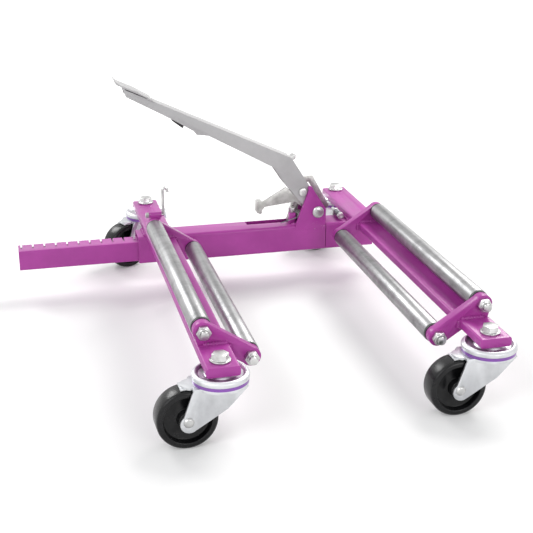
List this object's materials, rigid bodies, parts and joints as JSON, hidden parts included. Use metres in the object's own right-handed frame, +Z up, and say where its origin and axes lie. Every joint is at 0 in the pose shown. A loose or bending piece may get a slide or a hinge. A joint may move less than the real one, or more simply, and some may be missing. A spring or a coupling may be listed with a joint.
{
  "type": "car positioning jack",
  "caption": "Purple ratchet car-positioning jack: two roller arms on swivel casters, drawn together along a notched bar by a foot pedal.",
  "frame": {"origin": "on the floor, under the middle of the closed jack's bounding box", "axes": "+X along the notched bar towards the sliding arm, +Y along the rollers from the open end towards the tubes, +Z up"},
  "size_m": [0.581, 0.699, 0.3339],
  "materials": {
    "purple_paint": "gloss",
    "grey_paint": "satin",
    "bright_steel": "brushed",
    "zinc_plate": "satin",
    "fastener_zinc": "satin",
    "dark_steel": "satin",
    "violet_plastic": "gloss",
    "wheel_plastic": "gloss",
    "black_nylon": "matte",
    "rubber_pad": "matte"
  },
  "bodies": {
    "frame": {"left_arm": "purple_paint", "left_rear_bracket": "purple_paint", "left_front_bracket": "purple_paint", "outer_tube": "purple_paint", "pedal_brackets": "purple_paint", "stop_bolt": "fastener_zinc", "hook_barrel": "purple_paint", "left_roller_axles": "fastener_zinc", "left_roller_nuts": "fastener_zinc", "pedal_pivot_pin": "fastener_zinc", "holding_pawl_pin": "fastener_zinc", "pawl_spring": "fastener_zinc", "link_plate": "bright_steel", "left_caster_bolts": "fastener_zinc", "left_caster_races": "zinc_plate"},
    "slider": {"right_arm": "purple_paint", "right_rear_bracket": "purple_paint", "right_front_bracket": "purple_paint", "receiver_tube": "purple_paint", "notched_bar": "purple_paint", "receiver_bolt": "fastener_zinc", "receiver_spring": "dark_steel", "right_roller_axles": "fastener_zinc", "right_roller_nuts": "fastener_zinc", "right_caster_bolts": "fastener_zinc", "right_caster_races": "zinc_plate"},
    "pedal": {"pedal_lever": "grey_paint", "foot_pad": "grey_paint", "pedal_catch": "rubber_pad", "pedal_bend_bolt": "fastener_zinc", "drive_pawl_pin": "fastener_zinc"},
    "drive_pawl": {"drive_pawl": "bright_steel"},
    "holding_pawl": {"holding_pawl": "bright_steel"},
    "release_lever": {"release_lever": "bright_steel"},
    "hook": {"hold_down_hook": "fastener_zinc"},
    "left_outer_roll": {"left_outer_roller": "bright_steel", "left_outer_bushes": "black_nylon"},
    "left_inner_roll": {"left_inner_roller": "bright_steel", "left_inner_bushes": "black_nylon"},
    "right_outer_roll": {"right_outer_roller": "bright_steel", "right_outer_bushes": "black_nylon"},
    "right_inner_roll": {"right_inner_roller": "bright_steel", "right_inner_bushes": "black_nylon"},
    "front_left_swivel": {"front_left_fork": "zinc_plate", "front_left_seal": "violet_plastic", "front_left_axle": "fastener_zinc"},
    "front_left_roll": {"front_left_wheel": "wheel_plastic"},
    "rear_left_swivel": {"rear_left_fork": "zinc_plate", "rear_left_seal": "violet_plastic", "rear_left_axle": "fastener_zinc"},
    "rear_left_roll": {"rear_left_wheel": "wheel_plastic"},
    "front_right_swivel": {"front_right_fork": "zinc_plate", "front_right_seal": "violet_plastic", "front_right_axle": "fastener_zinc"},
    "front_right_roll": {"front_right_wheel": "wheel_plastic"},
    "rear_right_swivel": {"rear_right_fork": "zinc_plate", "rear_right_seal": "violet_plastic", "rear_right_axle": "fastener_zinc"},
    "rear_right_roll": {"rear_right_wheel": "wheel_plastic"}
  },
  "joints": [
    {"name": "arm_slide", "type": "slide", "parent": "frame", "child": "slider", "axis": [1, 0, 0], "range_m": [0, 0.17]},
    {"name": "pedal_hinge", "type": "hinge", "parent": "frame", "child": "pedal", "pos_m": [0.1825, 0.194, 0.1095], "axis": [0, -1, 0], "range_deg": [0, 25]},
    {"name": "drive_pawl_hinge", "type": "hinge", "parent": "pedal", "child": "drive_pawl", "pos_m": [0.158, 0.19875, 0.143], "axis": [0, -1, 0], "range_deg": [-53, 0]},
    {"name": "release_hinge", "type": "hinge", "parent": "frame", "child": "release_lever", "pos_m": [0.1825, 0.1819, 0.1095], "axis": [0, -1, 0], "range_deg": [0, 11], "stiffness_Nm_per_rad": 0.3, "springref_deg": -22.92},
    {"name": "holding_pawl_hinge", "type": "hinge", "parent": "frame", "child": "holding_pawl", "pos_m": [0.1575, 0.2045, 0.0985], "axis": [0, -1, 0], "range_deg": [0, 20]},
    {"name": "hook_hinge", "type": "hinge", "parent": "frame", "child": "hook", "pos_m": [-0.0845, 0.145, 0.133], "axis": [1, 0, 0], "range_deg": [-45, 80]},
    {"name": "left_outer_roll_spin", "type": "hinge", "parent": "frame", "child": "left_outer_roll", "pos_m": [-0.0875, -0.0645, 0.118], "axis": [0, 1, 0], "continuous": true},
    {"name": "left_inner_roll_spin", "type": "hinge", "parent": "frame", "child": "left_inner_roll", "pos_m": [-0.0295, -0.0645, 0.0795], "axis": [0, 1, 0], "continuous": true},
    {"name": "right_outer_roll_spin", "type": "hinge", "parent": "slider", "child": "right_outer_roll", "pos_m": [0.2675, -0.0645, 0.118], "axis": [0, 1, 0], "continuous": true},
    {"name": "right_inner_roll_spin", "type": "hinge", "parent": "slider", "child": "right_inner_roll", "pos_m": [0.2095, -0.0645, 0.0795], "axis": [0, 1, 0], "continuous": true},
    {"name": "front_left_swivel_turn", "type": "hinge", "parent": "frame", "child": "front_left_swivel", "pos_m": [-0.0765, -0.3155, 0.077], "axis": [0, 0, 1], "continuous": true},
    {"name": "front_left_wheel_spin", "type": "hinge", "parent": "front_left_swivel", "child": "front_left_roll", "pos_m": [-0.11847, -0.31697, 0.0365], "axis": [0.0349, -0.9994, 0], "continuous": true},
    {"name": "rear_left_swivel_turn", "type": "hinge", "parent": "frame", "child": "rear_left_swivel", "pos_m": [-0.0765, 0.3155, 0.077], "axis": [0, 0, 1], "continuous": true},
    {"name": "rear_left_wheel_spin", "type": "hinge", "parent": "rear_left_swivel", "child": "rear_left_roll", "pos_m": [-0.11457, 0.29775, 0.0365], "axis": [0.4226, -0.9063, 0], "continuous": true},
    {"name": "front_right_swivel_turn", "type": "hinge", "parent": "slider", "child": "front_right_swivel", "pos_m": [0.2565, -0.3155, 0.077], "axis": [0, 0, 1], "continuous": true},
    {"name": "front_right_wheel_spin", "type": "hinge", "parent": "front_right_swivel", "child": "front_right_roll", "pos_m": [0.21451, -0.31623, 0.0365], "axis": [0.0175, -0.9998, 0], "continuous": true},
    {"name": "rear_right_swivel_turn", "type": "hinge", "parent": "slider", "child": "rear_right_swivel", "pos_m": [0.2565, 0.3155, 0.077], "axis": [0, 0, 1], "continuous": true},
    {"name": "rear_right_wheel_spin", "type": "hinge", "parent": "rear_right_swivel", "child": "rear_right_roll", "pos_m": [0.21613, 0.30392, 0.0365], "axis": [0.2756, -0.9613, 0], "continuous": true}
  ],
  "couplings": [
    {"joint": "drive_pawl_hinge", "follows": "pedal_hinge", "ratio": -2.1},
    {"joint": "holding_pawl_hinge", "follows": "release_hinge", "ratio": 1.8}
  ]
}
